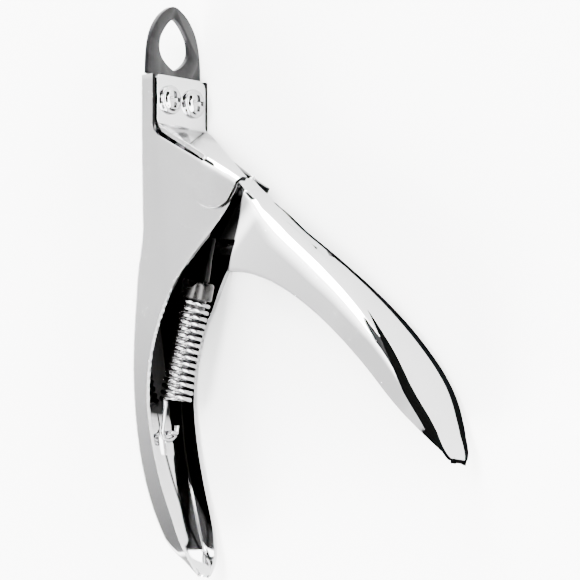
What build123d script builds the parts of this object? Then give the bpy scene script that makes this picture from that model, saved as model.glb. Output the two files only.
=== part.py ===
"""Guillotine pet nail trimmer: two chromed sheet-steel handles, a cutting ring and a sliding blade.

Design frame, in millimetres: +X from the back of the fixed handle towards the moving handle, +Y along the
tool with the cutting ring at the top, +Z up from the table the tool lies on, and z = 0 in its middle plane.
x = 0, y = 0 is the back of the head at its top edge. Everything is moved to the row frame when written:
origin at the centre of the bounding box's bottom face, so the tool lies on z = 0.
"""

from build123d import *
from math import atan2, cos, degrees, hypot, radians, sin
import os

# ---- driving dimensions -------------------------------------------------------------------------------
SHEET = 1.0            # handle sheet thickness
HEAD_WIDTH = 20.0      # fixed handle across its flanges, at the head
HEAD_DEPTH = 4.0       # head flange, from its back to its edge
HEAD_LENGTH = 13.0     # straight head, down to the sloping shoulder
SHOULDER = (27.6, -27.6)
NECK_HALF = 9.1        # half width of the fixed handle below the pivot
GRIP_HALF = 8.9        # half width of the fixed handle's grip
GRIP_TIP = (11.6, -120.4)
PINCH_HALF = 5.75      # half width of the fixed handle at the pivot
LEVER_TIP = (91.0, -99.6)
CLOSING = 50.0         # degrees the moving handle travels
PIVOT = (21.6, -28.4)  # pivot pin axis
PIN_R = 1.6
RUN = 0.06             # running clearance on a radius
CHEEK_HALF = 4.45      # half width of the moving handle where it runs inside the fixed handle
RING_T = 1.25
RING_HALF = 8.85       # ring plate, between the flanges
RING_TOP = 17.4
RING_FOOT = -17.0
BLADE_T = 1.0
BLADE_GAP = 0.06
BLADE_EDGE = -0.3      # cutting edge, fully retracted
BEVEL = 2.2
TAB_LENGTH = 2.1       # drive tabs, out from the blade's face
COVER_T = 1.1
COVER_HALF = 8.65
SCREW_Y = -5.8
SCREW_Z = 4.2
SCREW_R = 1.65
SCREW_HEAD_R = 3.5
SCREW_HEAD_H = 1.9
RECESS_W = 0.9         # cross recess: arm width, span and depth
RECESS_L = 4.0
RECESS_D = 1.2
BOSS_R = 3.36          # moving handle's rounded end about the pivot
WEB_LEAN = 50.8        # direction from the pivot square to the moving handle's back
NOSE_REACH = 18.7      # pivot to the centre of the rounded drive nose
NOSE_R = 1.5
NOSE_HALF = 3.0
NECK_LENGTH = 5.0      # parallel neck behind the nose
NECK_HALF_T = 1.0
SPRING_MEAN_R = 3.35
WIRE_R = 0.55
SPRING_TURNS = 14
SPRING_LENGTH = 22.4
HOOK_LENGTH = 8.5      # from the hook's bearing point to the first coil
HOOK_R = 2.6
ANCHOR = (0.3, -86.1)  # where the spring hook bears on the anchor tongue
TONGUE_HALF = 1.2
TONGUE_T = 1.0
LINK_PIN = (13.2, -37.2)
LINK_PIN_R = 0.9
LINK_T = 1.6
LINK_HALF = 2.6
LINK_PLAY = 1.0        # clearance of the link's eye on its pin
PLUG_R = 3.9
PLUG_H = 5.0
EAR_CENTRE = (20.8, -28.1)
EAR_WIDTH = 11.0
EAR_GAP = 0.08         # between the ear and the flange it covers
SHELF_GAP = 0.12       # between the arm and the sloping flange edges
ARM_END_Z = 2.0        # lower side of the arm where it ends

REACH = 60             # half length of a cutting prism, beyond any part
RING_FACE = SHEET + RING_T
BLADE_BACK = RING_FACE + BLADE_GAP
BLADE_FACE = BLADE_BACK + BLADE_T
COVER_BACK = BLADE_FACE + BLADE_GAP
COVER_FACE = COVER_BACK + COVER_T
STROKE = 2 * NOSE_REACH * sin(radians(CLOSING / 2))
NOSE_Y = PIVOT[1] - STROKE / 2
FRONT = Plane(origin=(0, 0, 0), x_dir=(0, 1, 0), z_dir=(1, 0, 0))
SPRING_LEAN = degrees(atan2(LINK_PIN[0] - ANCHOR[0], LINK_PIN[1] - ANCHOR[1]))
SPRING_REST = hypot(LINK_PIN[0] - ANCHOR[0], LINK_PIN[1] - ANCHOR[1])
LEVER_PLAN = Plane(origin=(PIVOT[0], PIVOT[1], 0), x_dir=(1, -1, 0), z_dir=(1, 1, 0))


# ---- helpers ------------------------------------------------------------------------------------------
def prism(face, half):
    """A face swept both ways along its normal."""
    return extrude(face, amount=half, both=True)


def band(edges, plane):
    """The region between an upper outline and its mirror image, placed on a plane."""
    upper = Curve() + edges
    points = [upper.vertices().sort_by(Axis.X)[0], upper.vertices().sort_by(Axis.X)[-1]]
    sides = [Line((p.X, p.Y), (p.X, -p.Y)) for p in points if p.Y > 1e-6]
    return plane * make_face(Curve() + edges + [mirror(upper, about=Plane.XZ)] + sides)


def post(centre, radius, half):
    """A round bar along Z, centred on the middle plane."""
    return Pos(centre[0], centre[1], 0) * Cylinder(radius, 2 * half)


def cross_bar(y, z, radius, low, high):
    """A round bar along X."""
    return Plane(origin=(low, y, z), x_dir=(0, 1, 0), z_dir=(1, 0, 0)) * extrude(Circle(radius), high - low)


def block(x, y, z):
    """A box given its limits along each axis."""
    size = [b - a for a, b in (x, y, z)]
    middle = [(a + b) / 2 for a, b in (x, y, z)]
    return Pos(*middle) * Box(*size)


def polar(centre, radius, angle):
    return (centre[0] + radius * cos(radians(angle)), centre[1] + radius * sin(radians(angle)))


def along_spring(shape):
    """Places a shape drawn with the spring's axis as Z and its bearing point as the origin."""
    return Pos(ANCHOR[0], ANCHOR[1], 0) * Rot(0, 0, -SPRING_LEAN) * Rot(-90, 0, 0) * shape


# ---- fixed handle -------------------------------------------------------------------------------------
def back_curve(shift):
    """The fixed handle's back in side view, moved inwards by shift."""
    straight = Line((shift, 0), (shift, -36))
    grip = Spline(
        [(shift, -36), (-2.1 + shift, -49), (-3.6 + shift, -71), (-1.2 + shift, -93),
         (4.9 + shift, -111.5), (GRIP_TIP[0] + shift, GRIP_TIP[1])],
        tangents=[(0, -1), (0.45, -0.89)],
    )
    return [straight, grip]


def body_section(inset):
    """The fixed handle seen along Y: full width at the back, pinched in towards the pivot."""
    head, pinch = HEAD_WIDTH / 2 - inset, PINCH_HALF - inset
    outline = Polyline((-8, head), (HEAD_DEPTH + 0.4, head), (21, pinch + 0.5), (24.5, pinch), (40, pinch))
    return band([outline], Plane.XZ)


def body_plan(inset):
    """The fixed handle seen along X: a waisted neck, a fuller grip and a rounded tip."""
    head = HEAD_WIDTH / 2 - inset
    grip = Spline(
        [(-14, head), (-60, NECK_HALF - inset), (-88, GRIP_HALF - inset), (-106, 7.9 - inset),
         (-115.5, 5.6 - inset), (GRIP_TIP[1] - 0.4 + inset, 0)],
        tangents=[(-1, 0), (0, -1)],
    )
    return band([Line((8, head), (-14, head)), grip], FRONT)


def flange_edge():
    """The free edge of the fixed handle's flanges, from the tip up to the shoulder."""
    lower = Spline(
        [GRIP_TIP, (8.9, -109), (5.2, -97.5), (2.5, -86), (1.5, -75.8), (3.2, -64.3), (8.1, -53.5),
         (14.8, -44.1)],
        tangents=[(-0.1, 1), (0.66, 0.75)],
    )
    knee = Spline([(14.8, -44.1), (20.4, -37.9), (25.4, -31.2)], tangents=[(0.66, 0.75), (0.42, 0.91)])
    return [lower, knee]


def anchor_tongue():
    """The tongue lanced from the grip that the spring hook pulls against."""
    low = ANCHOR[1] + WIRE_R
    return block((-2, 2.6), (low, low + TONGUE_T), (-TONGUE_HALF, TONGUE_HALF))


def fixed_handle():
    shoulder = Polyline((25.4, -31.2), SHOULDER, (HEAD_DEPTH, -HEAD_LENGTH), (HEAD_DEPTH, 0), (0, 0))
    side = make_face(Curve() + back_curve(0) + flange_edge() + [shoulder])
    outer = prism(side, 15) & prism(body_section(0), 2.5 * REACH) & prism(body_plan(0), REACH)

    far = Polyline((GRIP_TIP[0] + SHEET, GRIP_TIP[1]), (50, -121), (50, 5), (SHEET, 5), (SHEET, 0))
    hollow = prism(make_face(Curve() + back_curve(SHEET) + [far]), 15)
    hollow = hollow & prism(body_section(SHEET), 2.5 * REACH) & prism(body_plan(SHEET), REACH)
    shell = outer - hollow + anchor_tongue()
    low = ANCHOR[1] + WIRE_R
    shell -= block((-6, -0.9), (low - 4.6, low), (-TONGUE_HALF, TONGUE_HALF))
    for z in (-SCREW_Z, SCREW_Z):
        shell -= cross_bar(SCREW_Y, z, SCREW_R + RUN, -2, RING_FACE)
    return shell - post(PIVOT, PIN_R + RUN, 12)


# ---- moving handle ------------------------------------------------------------------------------------
def lever_back(shift):
    """The moving handle's back in side view, from the pivot boss to its tip, moved inwards by shift."""
    start = polar(PIVOT, BOSS_R - shift, WEB_LEAN)
    return Spline(
        [start, (34.9 - 0.64 * shift, -34.9 - 0.77 * shift), (60 - 0.65 * shift, -55 - 0.76 * shift),
         (76.3 - 0.8 * shift, -72.4 - 0.6 * shift), (86.0 - 0.88 * shift, -88.1 - 0.48 * shift),
         (LEVER_TIP[0] - 0.9 * shift, LEVER_TIP[1] - 0.4 * shift)],
        tangents=[(0.775, -0.632), (0.42, -0.91)],
    )


def lever_edge():
    """The free edge of the moving handle's flanges, from the tip back to the lower corner."""
    return Spline(
        [LEVER_TIP, (83.8, -89.7), (67.5, -72.3), (52.5, -60.6), (37.9, -52.5), (24.2, -49)],
        tangents=[(-0.6, 0.8), (-1, 0.05)],
    )


def lever_plan(inset):
    """The moving handle's half width along its length: narrow in the fixed handle, wide at the grip."""
    cheek = CHEEK_HALF - inset
    neck = Line((-30, cheek), (8.5, cheek))
    grip = Spline(
        [(8.5, cheek), (15.0, 6.0 - inset), (46, 8.5 - inset), (66, 9.2 - inset), (86, 7.9 - inset),
         (100.0 - inset, 0)],
        tangents=[(1, 0.05), (0, -1)],
    )
    return band([neck, grip], LEVER_PLAN)


def cheek_outline():
    """The flanges' inner end: a lobe at the link pin and a boss about the pivot."""
    lobe, end = 2.6, polar(PIVOT, BOSS_R, WEB_LEAN)
    lower = Polyline((24.2, -49), (26.3, -41.5), polar(LINK_PIN, lobe, -75))
    round_lobe = RadiusArc(polar(LINK_PIN, lobe, -75), polar(LINK_PIN, lobe, 155), lobe)
    rise = Line(polar(LINK_PIN, lobe, 155), polar(PIVOT, BOSS_R, 165))
    round_boss = RadiusArc(polar(PIVOT, BOSS_R, 165), end, BOSS_R)
    return [lower, round_lobe, rise, round_boss]


def moving_handle():
    side = make_face(Curve() + [lever_back(0), lever_edge()] + cheek_outline())
    outer = prism(side, 15) & prism(lever_plan(0), 2 * REACH)
    inner_back = lever_back(SHEET)
    far = Polyline(inner_back @ 1, (60, -130), (-20, -60), (-20, -10), (18, -18), inner_back @ 0)
    hollow = prism(make_face(Curve() + [inner_back, far]), 15) & prism(lever_plan(SHEET), 2 * REACH)
    return outer - hollow - post(PIVOT, PIN_R + RUN, 12) - post(LINK_PIN, LINK_PIN_R, 12)


# ---- cutting head -------------------------------------------------------------------------------------
def cutting_ring():
    """A flat plate with an arched top, held between the flanges, and a pointed oval nail hole."""
    arch = Spline(
        [(0.4, 9.5), (6, 9.2), (10.2, 8.2), (13.3, 6.4), (15.8, 3.8), (RING_TOP, 0)],
        tangents=[(1, 0), (0, -1)],
    )
    seat = Polyline((RING_FOOT, RING_HALF), (0.4, RING_HALF), (0.4, 9.5))
    opening = Spline([(1.9, 0), (4.1, 3.8), (6.9, 5.3), (10.6, 4.3), (14.4, 0)], tangents=[(0.35, 1), (0.3, -1)])
    plate = extrude(band([seat, arch], FRONT) - band([opening], FRONT), RING_T)
    plate = Pos(SHEET, 0, 0) * plate
    for z in (-SCREW_Z, SCREW_Z):
        plate -= cross_bar(SCREW_Y, z, SCREW_R + RUN, 0, 5)
    return plate


def cutting_blade():
    """The sliding blade: a bevelled edge, two slots round the screws, and a window with two drive tabs."""
    foot = NOSE_Y - NOSE_R - 3.2
    outline = Polyline((foot, 5.5), (-24, 5.5), (-21, RING_HALF), (BLADE_EDGE, RING_HALF))
    plate = Pos(BLADE_BACK, 0, 0) * extrude(band([outline], FRONT), BLADE_T)
    bevel = Polyline((BLADE_BACK, BLADE_EDGE), (BLADE_FACE + 1, BLADE_EDGE - BEVEL * (1 + 1 / BLADE_T)),
                     (BLADE_FACE + 1, BLADE_EDGE + 1), (BLADE_BACK, BLADE_EDGE + 1), close=True)
    plate -= prism(make_face(bevel), 15)
    slot_top, slot_foot = SCREW_Y, SCREW_Y - STROKE
    width = SCREW_R + 0.15
    for z in (-SCREW_Z, SCREW_Z):
        slot = block((0, 5), (slot_foot, slot_top), (z - width, z + width))
        for y in (slot_top, slot_foot):
            slot += cross_bar(y, z, width, 0, 5)
        plate -= slot
    gap = NOSE_R + 0.15
    plate -= block((0, 5), (NOSE_Y - gap, NOSE_Y + gap), (-NOSE_HALF - 0.3, NOSE_HALF + 0.3))
    for low in (NOSE_Y - gap - BLADE_T, NOSE_Y + gap):
        plate += block((BLADE_BACK, BLADE_FACE + TAB_LENGTH), (low, low + BLADE_T), (-NOSE_HALF, NOSE_HALF))
    return plate


def shelf_point(x, height):
    """A point a given height above the sloping flange edge, at a given x."""
    run, fall = SHOULDER[0] - HEAD_DEPTH, SHOULDER[1] + HEAD_LENGTH
    rise = height * hypot(run, fall) / run
    return (x, -HEAD_LENGTH + (x - HEAD_DEPTH) * fall / run + rise)


def cover_ear():
    """The round ear at the arm's end, folded down over the upper flange and hiding the pin's end."""
    lean = degrees(atan2(SHOULDER[1] + HEAD_LENGTH, SHOULDER[0] - HEAD_DEPTH))
    shape = Pos(0, 4) * Rectangle(EAR_WIDTH, 8) + Circle(EAR_WIDTH / 2)
    face = Pos(EAR_CENTRE[0], EAR_CENTRE[1]) * Rot(0, 0, lean) * shape
    high = SHELF_GAP + COVER_T
    face = face & make_face(Polyline(shelf_point(0, high), shelf_point(40, high), (40, -50), (0, -50), close=True))
    layer = prism(body_section(-EAR_GAP - COVER_T), REACH) - prism(body_section(-EAR_GAP), REACH)
    return prism(face, 15) & layer & block((0, 50), (-60, 20), (0, 20))


def cover_plate():
    """The front plate that holds the blade, and an arm that tapers up the slope to one folded ear."""
    low, high = SHELF_GAP, SHELF_GAP + COVER_T
    end = EAR_CENTRE[0] + 4.5
    side = Polyline((COVER_BACK, 0), shelf_point(COVER_BACK, low), shelf_point(end, low),
                    shelf_point(end, high), shelf_point(COVER_FACE, high), (COVER_FACE, 0), close=True)
    near = EAR_CENTRE[0] - 5
    plan = Plane.XZ * make_face(Polyline((0, COVER_HALF), (9, COVER_HALF), (near, 8), (40, 8), (40, ARM_END_Z + 1),
                                         (end, ARM_END_Z), (6.5, -COVER_HALF), (0, -COVER_HALF), close=True))
    plate = prism(make_face(side), 15) & prism(plan, REACH)
    corners = plate.edges().filter_by(Axis.X).group_by(Axis.Y)[-1]
    plate = fillet(corners, 2.0)
    plate = plate & prism(body_section(-EAR_GAP - COVER_T), REACH)
    plate += cover_ear()
    for z in (-SCREW_Z, SCREW_Z):
        plate -= cross_bar(SCREW_Y, z, SCREW_R + RUN, 0, 8)
    return plate


def cover_screws():
    """Two pan-head screws with cross recesses, through the cover and the ring into the head's back."""
    seat = COVER_FACE
    screws = []
    for z in (-SCREW_Z, SCREW_Z):
        head = cross_bar(SCREW_Y, z, SCREW_HEAD_R, seat, seat + SCREW_HEAD_H)
        head = fillet(head.edges().sort_by(Axis.X)[-1], 0.9)
        top = seat + SCREW_HEAD_H
        for width, height in ((RECESS_W, RECESS_L), (RECESS_L, RECESS_W)):
            head -= block((top - RECESS_D, top + 1), (SCREW_Y - width / 2, SCREW_Y + width / 2),
                          (z - height / 2, z + height / 2))
        screws.append(head + cross_bar(SCREW_Y, z, SCREW_R, 0.1, seat))
    return Compound(children=screws)


# ---- drive and pivot ----------------------------------------------------------------------------------
def drive_arm():
    """The cam between the moving handle's cheeks; its rounded nose works in the blade's window."""
    angle = 180 + CLOSING / 2
    nose = polar(PIVOT, NOSE_REACH, angle)
    throat = polar(PIVOT, NOSE_REACH - NECK_LENGTH, angle)
    hub = 3.2
    sides = [polar(PIVOT, hub, angle + 90), polar(throat, NECK_HALF_T, angle + 90),
             polar(nose, NECK_HALF_T, angle + 90), polar(nose, NECK_HALF_T, angle - 90),
             polar(throat, NECK_HALF_T, angle - 90), polar(PIVOT, hub, angle - 90)]
    arm = Pos(*PIVOT) * Circle(hub) + Pos(*nose) * Circle(NOSE_R) + make_face(Polyline(*sides, close=True))
    beyond = Pos(*throat) * Rot(0, 0, angle) * Pos(10, 0, 0) * Box(20, 20, 30)
    arm -= Pos(*PIVOT) * Rot(0, 0, WEB_LEAN) * Pos(BOSS_R - SHEET - 0.05 + 10, 0) * Rectangle(20, 40)
    wide = prism(arm, CHEEK_HALF - SHEET - 0.02) - beyond
    narrow = prism(arm, NOSE_HALF) & beyond
    return wide + narrow - post(PIVOT, PIN_R + RUN, 12)


def pivot_pin():
    """A plain pin: its upper end is covered by the ear, and its lower end has a low domed head."""
    shank = chamfer(post(PIVOT, PIN_R, PINCH_HALF + 0.2).edges(), 0.25)
    neck = Pos(PIVOT[0], PIVOT[1], -PINCH_HALF - 0.55) * Cylinder(PIN_R, 1.1)
    head = Pos(PIVOT[0], PIVOT[1], -PINCH_HALF - 1.4) * Cylinder(2.7, 1.0)
    return shank + neck + fillet(head.edges().sort_by(Axis.Z)[0], 0.6)


def link_pin():
    """A short pin riveted in the moving handle's cheeks."""
    return post(LINK_PIN, LINK_PIN_R, CHEEK_HALF)


# ---- spring -------------------------------------------------------------------------------------------
def spring_link():
    """The flat tongue from the spring plug up to the link pin."""
    low = HOOK_LENGTH + SPRING_LENGTH + 1.2
    bar = Pos(0, (low + SPRING_REST) / 2) * Rectangle(2 * LINK_HALF, SPRING_REST - low)
    face = bar + Pos(0, SPRING_REST) * Circle(LINK_HALF) - Pos(0, SPRING_REST) * Circle(LINK_PIN_R + LINK_PLAY)
    flat = extrude(face, amount=LINK_T / 2, both=True)
    return Pos(ANCHOR[0], ANCHOR[1], 0) * Rot(0, 0, -SPRING_LEAN) * flat


def spring_plug():
    """The cap on the coil's top: a stub inside the coil, and a slot across its top for the link."""
    foot = HOOK_LENGTH + SPRING_LENGTH + WIRE_R + 0.1
    cap = Pos(0, 0, foot + PLUG_H / 2) * Cylinder(PLUG_R, PLUG_H)
    cap = chamfer(cap.edges().sort_by(Axis.Z)[-1], 0.4)
    stub_r = SPRING_MEAN_R - WIRE_R - 0.1
    cap += Pos(0, 0, foot - 1.5) * Cylinder(stub_r, 3)
    top = foot + PLUG_H
    slot_foot = HOOK_LENGTH + SPRING_LENGTH + 1.2
    cap -= Pos(0, 0, (top + slot_foot) / 2) * Box(2 * LINK_HALF + 0.04, LINK_T + 0.04, top - slot_foot)
    return along_spring(cap)


def return_spring():
    """A closed-wound tension spring; its lower end is bent into a loop round the anchor tongue."""
    pitch = SPRING_LENGTH / SPRING_TURNS
    coil = Pos(0, 0, HOOK_LENGTH) * Helix(pitch=pitch, height=SPRING_LENGTH, radius=SPRING_MEAN_R)
    start = coil @ 0
    loop_top = 2 * HOOK_R - WIRE_R
    leg = Spline([(0, 0, loop_top), (1.6, -1.0, (loop_top + HOOK_LENGTH) / 2), (start.X, start.Y, start.Z)],
                 tangents=[(0, 0, 1), tuple(coil % 0)])
    wire = sweep(Plane(origin=coil @ 0, z_dir=coil % 0) * Circle(WIRE_R), path=coil)
    shank = sweep(Plane(origin=leg @ 0, z_dir=leg % 0) * Circle(WIRE_R), path=leg)
    hook = Pos(0, 0, HOOK_R - WIRE_R) * Rot(0, 90, 0) * Torus(HOOK_R, WIRE_R)
    return along_spring(wire + shank + hook)


# ---- output -------------------------------------------------------------------------------------------
NODES = {
    "fixed_handle": fixed_handle,
    "moving_handle": moving_handle,
    "cutting_ring": cutting_ring,
    "cutting_blade": cutting_blade,
    "cover_plate": cover_plate,
    "cover_screws": cover_screws,
    "drive_arm": drive_arm,
    "pivot_pin": pivot_pin,
    "link_pin": link_pin,
    "spring_link": spring_link,
    "spring_plug": spring_plug,
    "return_spring": return_spring,
}


def main():
    os.makedirs("parts", exist_ok=True)
    shapes = {name: make() for name, make in NODES.items()}
    box = Compound(children=[Compound(s.solids()) for s in shapes.values()]).bounding_box()
    shift = Pos(-(box.min.X + box.max.X) / 2, -(box.min.Y + box.max.Y) / 2, -box.min.Z)
    for name, shape in shapes.items():
        export_step(shift * Compound(shape.solids()), f"parts/{name}.step")
        print(name, len(shape.solids()), "solids", round(shape.volume, 1), "mm3")
    origin = shift.position
    for name, point in (("pivot", PIVOT), ("anchor", ANCHOR), ("link pin", LINK_PIN), ("design origin", (0, 0))):
        moved = (point[0] + origin.X, point[1] + origin.Y, origin.Z)
        print(name, "in the row frame, mm:", [round(v, 3) for v in moved])
    print("stroke", round(STROKE, 3), "spring axis leans", round(SPRING_LEAN, 3), "degrees from +Y")
    print("row box, mm:", [round(v, 2) for v in box.size])


if __name__ == "__main__":
    main()
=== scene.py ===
from contextlib import contextmanager
from math import atan2, cos, hypot, pi, radians, sin

import bmesh
import bpy
from mathutils import Matrix, Vector
from mathutils.geometry import interpolate_bezier


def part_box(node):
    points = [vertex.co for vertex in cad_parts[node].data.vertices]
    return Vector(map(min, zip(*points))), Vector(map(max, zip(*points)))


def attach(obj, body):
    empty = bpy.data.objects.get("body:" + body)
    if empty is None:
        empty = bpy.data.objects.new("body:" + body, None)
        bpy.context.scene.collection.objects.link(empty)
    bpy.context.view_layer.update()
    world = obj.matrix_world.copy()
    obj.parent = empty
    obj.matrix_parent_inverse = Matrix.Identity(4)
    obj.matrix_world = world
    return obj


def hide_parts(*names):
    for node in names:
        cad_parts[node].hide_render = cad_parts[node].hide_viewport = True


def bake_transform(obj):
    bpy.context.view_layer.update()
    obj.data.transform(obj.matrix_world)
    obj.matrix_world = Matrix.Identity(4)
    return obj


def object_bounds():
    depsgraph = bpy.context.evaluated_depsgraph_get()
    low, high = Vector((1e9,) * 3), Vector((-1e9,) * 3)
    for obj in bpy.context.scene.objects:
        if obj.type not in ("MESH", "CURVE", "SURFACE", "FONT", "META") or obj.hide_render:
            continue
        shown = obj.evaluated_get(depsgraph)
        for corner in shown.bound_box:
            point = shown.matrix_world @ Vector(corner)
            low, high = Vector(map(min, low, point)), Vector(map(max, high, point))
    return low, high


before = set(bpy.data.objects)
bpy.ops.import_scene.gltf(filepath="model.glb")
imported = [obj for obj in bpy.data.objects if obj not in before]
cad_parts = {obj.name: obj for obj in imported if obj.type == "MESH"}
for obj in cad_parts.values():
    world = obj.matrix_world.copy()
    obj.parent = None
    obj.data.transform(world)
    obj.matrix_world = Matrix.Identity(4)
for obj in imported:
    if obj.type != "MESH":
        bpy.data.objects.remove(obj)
cad_box = [list(v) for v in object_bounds()]
MM = 0.001

# ---- driving sizes, mm, measured from the back of the head's top edge; z = 0 is the middle plane --------
SHEET = 1.0
HEAD_DEPTH, HEAD_LENGTH = 4.0, 13.0
SHOULDER = (27.6, -27.6)
PIVOT, PIN_R = (21.6, -28.4), 1.6
LINK_PIN, LINK_PIN_R, LOBE_R = (13.2, -37.2), 0.9, 2.6
BOSS_R, CHEEK_HALF, NECK_END = 3.36, 4.45, 8.5
HEAD_BEND, GRIP_BEND = 1.0, 1.5
SLOT_HALF, SLOT_TOP, SLOT_FOOT = 1.2, -85.55, -90.15
SCREW_Y, SCREW_Z, SCREW_R = -5.8, 4.2, 1.65
SCREW_HEAD_R, SCREW_HEAD_H = 3.5, 1.9
COVER_BACK, COVER_T, COVER_HALF = 3.37, 1.1, 8.65
SLOPE = (SHOULDER[1] + HEAD_LENGTH) / (SHOULDER[0] - HEAD_DEPTH)
EAR_CENTRE, EAR_R, EAR_GAP = (20.8, -28.1), 5.5, 0.08
RING_BACK, RING_T = 1.0, 1.25
WIRE_R, COIL_R, COIL_TURNS = 0.55, 3.35, 15
HOOK_R, HOOK_LENGTH, COIL_LENGTH = 2.6, 8.8, 24.2
ANCHOR, SPRING_LEAN, LINK_REACH = (0.3, -86.1), radians(14.778), 50.57
PLUG_R, PLUG_H = 3.9, 4.6
LINK_HALF, LINK_T, LINK_HOLE = 2.6, 1.6, 1.9
BORE_GAP = 0.06                                  # bores are this much larger in radius than what they hold
SHEET_RIM = 0.4                                  # rounding of the sheets' cut edges

# ---- columns of faces across a channel: flange, bend, half the web, then the same mirrored ---------------
FLANGE_STEPS, BEND_STEPS, STEPS_TO_MARK, HALF_WEB_STEPS = 10, 9, 5, 4
MARK_FACE = FLANGE_STEPS + STEPS_TO_MARK
UPPER_BEND_END = FLANGE_STEPS + BEND_STEPS - 1
WEB_STRIP = FLANGE_STEPS + BEND_STEPS + 2 * HALF_WEB_STEPS - 1
LOWER_BEND_END = WEB_STRIP + BEND_STEPS + 1
OUTSIDE, SHADED = 0, 3                           # material slots of a bent sheet's outer faces
SQUARE = ((-1, -1), (1, -1), (1, 1), (-1, 1))    # its corners, in order

# ---- places taken from the frame ----------------------------------------------------------------------
handle_low, handle_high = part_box("fixed_handle")
ring_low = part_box("cutting_ring")[0]
ORIGIN = Vector((ring_low.x - SHEET * MM, handle_high.y, (handle_low.z + handle_high.z) / 2))


def at(x, y, z=0.0):
    """A point in millimetres from the back of the head's top edge, in the middle plane."""
    return ORIGIN + Vector((x, y, z)) * MM


# ---- curves -------------------------------------------------------------------------------------------
def smooth_path(points, first=None, last=None, steps=10):
    """A smooth polyline through 2-D points, with the directions at its ends if they are given."""
    knots = [Vector((p[0], p[1], 0)) for p in points]
    slopes = []
    for i, knot in enumerate(knots):
        before, after = knots[max(i - 1, 0)], knots[min(i + 1, len(knots) - 1)]
        slopes.append((after - before).normalized())
    if first:
        slopes[0] = Vector((*first, 0)).normalized()
    if last:
        slopes[-1] = Vector((*last, 0)).normalized()
    path = []
    for i in range(len(knots) - 1):
        reach = (knots[i + 1] - knots[i]).length / 3
        start, end = knots[i] + slopes[i] * reach, knots[i + 1] - slopes[i + 1] * reach
        path += interpolate_bezier(knots[i], start, end, knots[i + 1], steps + 1)[:-1]
    path.append(knots[-1])
    return [(p.x, p.y) for p in path]


def spaced(path, count, ease=None):
    """Count points along a polyline, evenly spaced unless an easing function moves them."""
    lengths = [0.0]
    for a, b in zip(path, path[1:]):
        lengths.append(lengths[-1] + hypot(b[0] - a[0], b[1] - a[1]))
    points = []
    for k in range(count):
        part = k / (count - 1)
        goal = (ease(part) if ease else part) * lengths[-1]
        i = max(j for j in range(len(path) - 1) if lengths[j] <= goal or j == 0)
        share = (goal - lengths[i]) / max(lengths[i + 1] - lengths[i], 1e-9)
        a, b = path[i], path[i + 1]
        points.append((a[0] + (b[0] - a[0]) * share, a[1] + (b[1] - a[1]) * share))
    return points


def lookup(path, value, key=0):
    """The other coordinate of a polyline where one coordinate has a value, held constant beyond its ends."""
    other = 1 - key
    ordered = sorted(path, key=lambda p: p[key])
    if value <= ordered[0][key]:
        return ordered[0][other]
    for a, b in zip(ordered, ordered[1:]):
        if a[key] <= value <= b[key]:
            share = (value - a[key]) / max(b[key] - a[key], 1e-9)
            return a[other] + (b[other] - a[other]) * share
    return ordered[-1][other]


def arc(centre, radius, start, end, count):
    """Points on an arc, with its angles in degrees."""
    angles = [radians(start + (end - start) * k / (count - 1)) for k in range(count)]
    return [(centre[0] + radius * cos(a), centre[1] + radius * sin(a)) for a in angles]


def share(value, low, high):
    """How far a value has come from low to high, held between 0 and 1."""
    return min(max((value - low) / (high - low), 0), 1)


def ease_out(part):
    """Closer spacing toward the end of a path, for a rounded tip."""
    return 1 - (1 - part) ** 1.6


# ---- mesh helpers -------------------------------------------------------------------------------------
@contextmanager
def edited(obj):
    """Opens a piece's mesh for editing and writes it back."""
    form = bmesh.new()
    form.from_mesh(obj.data)
    yield form
    form.to_mesh(obj.data)
    form.free()


def shade(mesh, sharp):
    """Shades a mesh smooth, with edges over an angle kept sharp."""
    mesh.shade_smooth()
    mesh.set_sharp_from_angle(angle=radians(sharp))


def add_to_scene(name, data):
    """An object in the scene from a mesh, curve or camera."""
    obj = bpy.data.objects.new(name, data)
    bpy.context.scene.collection.objects.link(obj)
    return obj


def grid_faces(rows):
    """Four-sided faces between neighbouring rows of points, row by row."""
    width = len(rows[0])
    corners = [i * width + j for i in range(len(rows) - 1) for j in range(width - 1)]
    return [(a, a + 1, a + width + 1, a + width) for a in corners]


def new_object(name, points, faces, takes=()):
    """A mesh from points in mm; takes says which material each face has, if not all the first."""
    mesh = bpy.data.meshes.new(name)
    mesh.from_pydata([at(*p) for p in points], [], faces)
    for face, index in zip(mesh.polygons, takes):
        face.material_index = index
    mesh.validate()
    return add_to_scene(name, mesh)


def bake(obj, sharp=35.0):
    """Makes the modifiers part of the mesh."""
    shaped = obj.evaluated_get(bpy.context.evaluated_depsgraph_get())
    obj.data = bpy.data.meshes.new_from_object(shaped)
    obj.modifiers.clear()
    shade(obj.data, sharp)
    return obj


def add_bevel(obj, width, segments=2, angle=50):
    """Rounds the edges over an angle, by a width in mm."""
    bevel = obj.modifiers.new("rim", "BEVEL")
    bevel.width = width * MM
    bevel.segments = segments
    bevel.limit_method = "ANGLE"
    bevel.angle_limit = radians(angle)


def add_thickness(obj, thickness, inside, rim):
    """Thickens a sheet inwards; its inner faces and its edges take later material slots."""
    solid = obj.modifiers.new("sheet", "SOLIDIFY")
    solid.thickness = thickness * MM
    solid.offset = -1
    solid.material_offset = inside
    solid.material_offset_rim = rim


def cut(obj, tool, sharp=35.0):
    """Cuts one mesh out of another and throws the tool away."""
    modifier = obj.modifiers.new("hole", "BOOLEAN")
    modifier.operation = "DIFFERENCE"
    modifier.solver = "EXACT"
    modifier.object = tool
    bake(obj, sharp)
    bpy.data.objects.remove(tool)


def keep_within(obj, box):
    """Presses the thin ends of a sheet back inside a box."""
    low, high = box
    for vertex in obj.data.vertices:
        vertex.co = [min(max(c, a), b) for c, a, b in zip(vertex.co, low, high)]


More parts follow.
